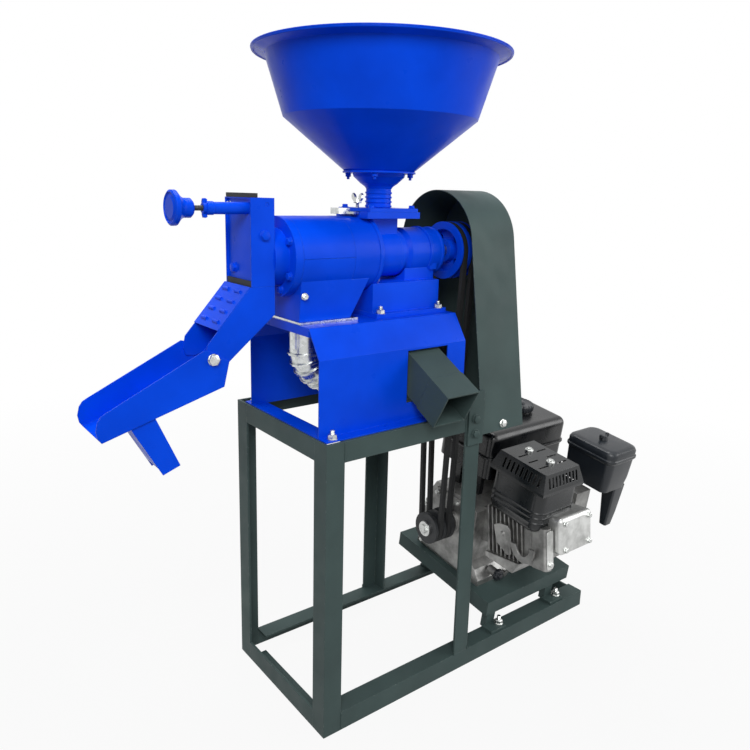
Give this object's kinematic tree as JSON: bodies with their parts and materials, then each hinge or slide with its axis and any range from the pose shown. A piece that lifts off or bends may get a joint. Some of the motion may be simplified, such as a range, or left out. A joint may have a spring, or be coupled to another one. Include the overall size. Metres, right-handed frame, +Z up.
{
  "type": "rice huller",
  "caption": "Rice huller: feed hopper over a horizontal milling drum on a steel angle stand, belt driven by a small petrol engine, with a suction fan and a tilting outlet chute.",
  "frame": {"origin": "bottom corner of the stand at its front left foot, on the floor", "axes": "+X along the machine from the rice chute to the engine, +Y from the fan outlet to the back, +Z up"},
  "size_m": [1.017, 0.4641, 1.134],
  "materials": {
    "stand_paint": "satin grey-green paint",
    "blue_paint": "gloss blue paint",
    "galvanised": "galvanised",
    "bright_steel": "machined",
    "cast": "as cast",
    "silver_parts": "bright",
    "black_plastic": "moulded",
    "belt_rubber": "matt",
    "engine_paint": "gloss black paint",
    "engine_alloy": "die cast",
    "exhaust": "matt black heat paint"
  },
  "bodies": {
    "stand": {"leg_front_left": "stand_paint", "leg_rear_left": "stand_paint", "leg_front_right": "stand_paint", "leg_rear_right": "stand_paint", "lower_frame": "stand_paint", "lower_left_rail": "stand_paint", "upper_frame": "stand_paint", "guard_stay_front": "stand_paint", "guard_stay_rear": "stand_paint", "belt_guard": "stand_paint", "fan_housing": "stand_paint", "engine_plate": "stand_paint", "suction_duct": "galvanised", "mill_base": "blue_paint", "bran_hopper": "blue_paint", "feed_body": "blue_paint", "outlet_ring": "blue_paint", "pedestal": "blue_paint", "bearing_housing": "blue_paint", "hopper_neck": "blue_paint", "hopper": "blue_paint", "outlet_box": "blue_paint", "chute": "blue_paint", "chute_cover": "blue_paint", "rice_screen": "bright_steel", "bearing_inner": "bright_steel", "bearing_outer": "bright_steel", "valve_cover": "silver_parts", "air_cleaner": "black_plastic", "recoil_handle": "black_plastic", "belt_left": "belt_rubber", "belt_right": "belt_rubber", "fuel_tank": "engine_paint", "blower_housing": "engine_paint", "crankcase": "engine_alloy", "cylinder": "engine_alloy", "carburettor": "engine_alloy", "muffler": "exhaust", "muffler_guard": "exhaust"},
    "mill_rotor": {"main_shaft": "bright_steel", "milling_roller": "cast", "feed_screw": "cast", "mill_pulley": "blue_paint"},
    "fan_rotor": {"fan_shaft": "bright_steel", "impeller": "cast", "fan_pulley": "cast"},
    "crank": {"crankshaft": "bright_steel", "engine_pulley": "cast", "flywheel": "cast"},
    "gate": {"slide_gate": "galvanised"},
    "gate_lock": {"gate_screw": "silver_parts"},
    "cover": {"roller_cover": "blue_paint"},
    "flap": {"pressure_flap": "bright_steel"},
    "pressure_set": {"pressure_screw": "blue_paint", "pressure_knob": "blue_paint"},
    "lower_chute": {"trough": "blue_paint"},
    "throttle": {"throttle_lever": "black_plastic"},
    "switch": {"engine_switch": "black_plastic"},
    "filler_cap": {"fuel_cap": "black_plastic"},
    "oil_plug": {"oil_cap": "black_plastic"}
  },
  "joints": [
    {"name": "crank_turn", "type": "hinge", "parent": "stand", "child": "crank", "pos_m": [0.4, 0.15, 0.226], "axis": [1, 0, 0], "continuous": true},
    {"name": "mill_turn", "type": "hinge", "parent": "stand", "child": "mill_rotor", "pos_m": [0.3, 0.14, 0.803], "axis": [1, 0, 0], "continuous": true},
    {"name": "fan_turn", "type": "hinge", "parent": "stand", "child": "fan_rotor", "pos_m": [0.3, 0.14, 0.603], "axis": [1, 0, 0], "continuous": true},
    {"name": "gate_slide", "type": "slide", "parent": "stand", "child": "gate", "axis": [-1, 0, 0], "range_m": [0, 0.05]},
    {"name": "gate_lock_turn", "type": "hinge", "parent": "stand", "child": "gate_lock", "pos_m": [0.152, 0.14, 0.88], "axis": [0, 0, 1], "range_deg": [0, 360]},
    {"name": "cover_hinge", "type": "hinge", "parent": "stand", "child": "cover", "pos_m": [0.06, 0.21, 0.803], "axis": [-1, 0, 0], "range_deg": [0, 75]},
    {"name": "flap_hinge", "type": "hinge", "parent": "stand", "child": "flap", "pos_m": [-0.045, 0.14, 0.885], "axis": [0, 1, 0], "range_deg": [0, 11], "stiffness_Nm_per_rad": 0.8},
    {"name": "pressure_turn", "type": "hinge", "parent": "stand", "child": "pressure_set", "pos_m": [-0.1, 0.116, 0.879], "axis": [1, 0, 0], "range_deg": [-180, 180]},
    {"name": "trough_tilt", "type": "hinge", "parent": "stand", "child": "lower_chute", "pos_m": [-0.139, 0.1405, 0.659], "axis": [0, 1, 0], "range_deg": [-12, 12]},
    {"name": "throttle_turn", "type": "hinge", "parent": "stand", "child": "throttle", "pos_m": [0.6318, 0.05499, 0.29848], "axis": [1, 0, 0], "range_deg": [-20, 25]},
    {"name": "switch_turn", "type": "hinge", "parent": "stand", "child": "switch", "pos_m": [0.607, 0.02342, 0.22134], "axis": [0, -0.9903, -0.1392], "range_deg": [0, 60]},
    {"name": "filler_cap_turn", "type": "hinge", "parent": "stand", "child": "filler_cap", "pos_m": [0.598, 0.12987, 0.45543], "axis": [0, -0.1392, 0.9903], "range_deg": [0, 120]},
    {"name": "oil_plug_turn", "type": "hinge", "parent": "stand", "child": "oil_plug", "pos_m": [0.466, 0.04428, 0.13036], "axis": [0, -0.9903, -0.1392], "range_deg": [0, 360]}
  ],
  "couplings": [
    {"joint": "mill_turn", "follows": "crank_turn", "ratio": 0.5758},
    {"joint": "fan_turn", "follows": "crank_turn", "ratio": 0.75}
  ]
}
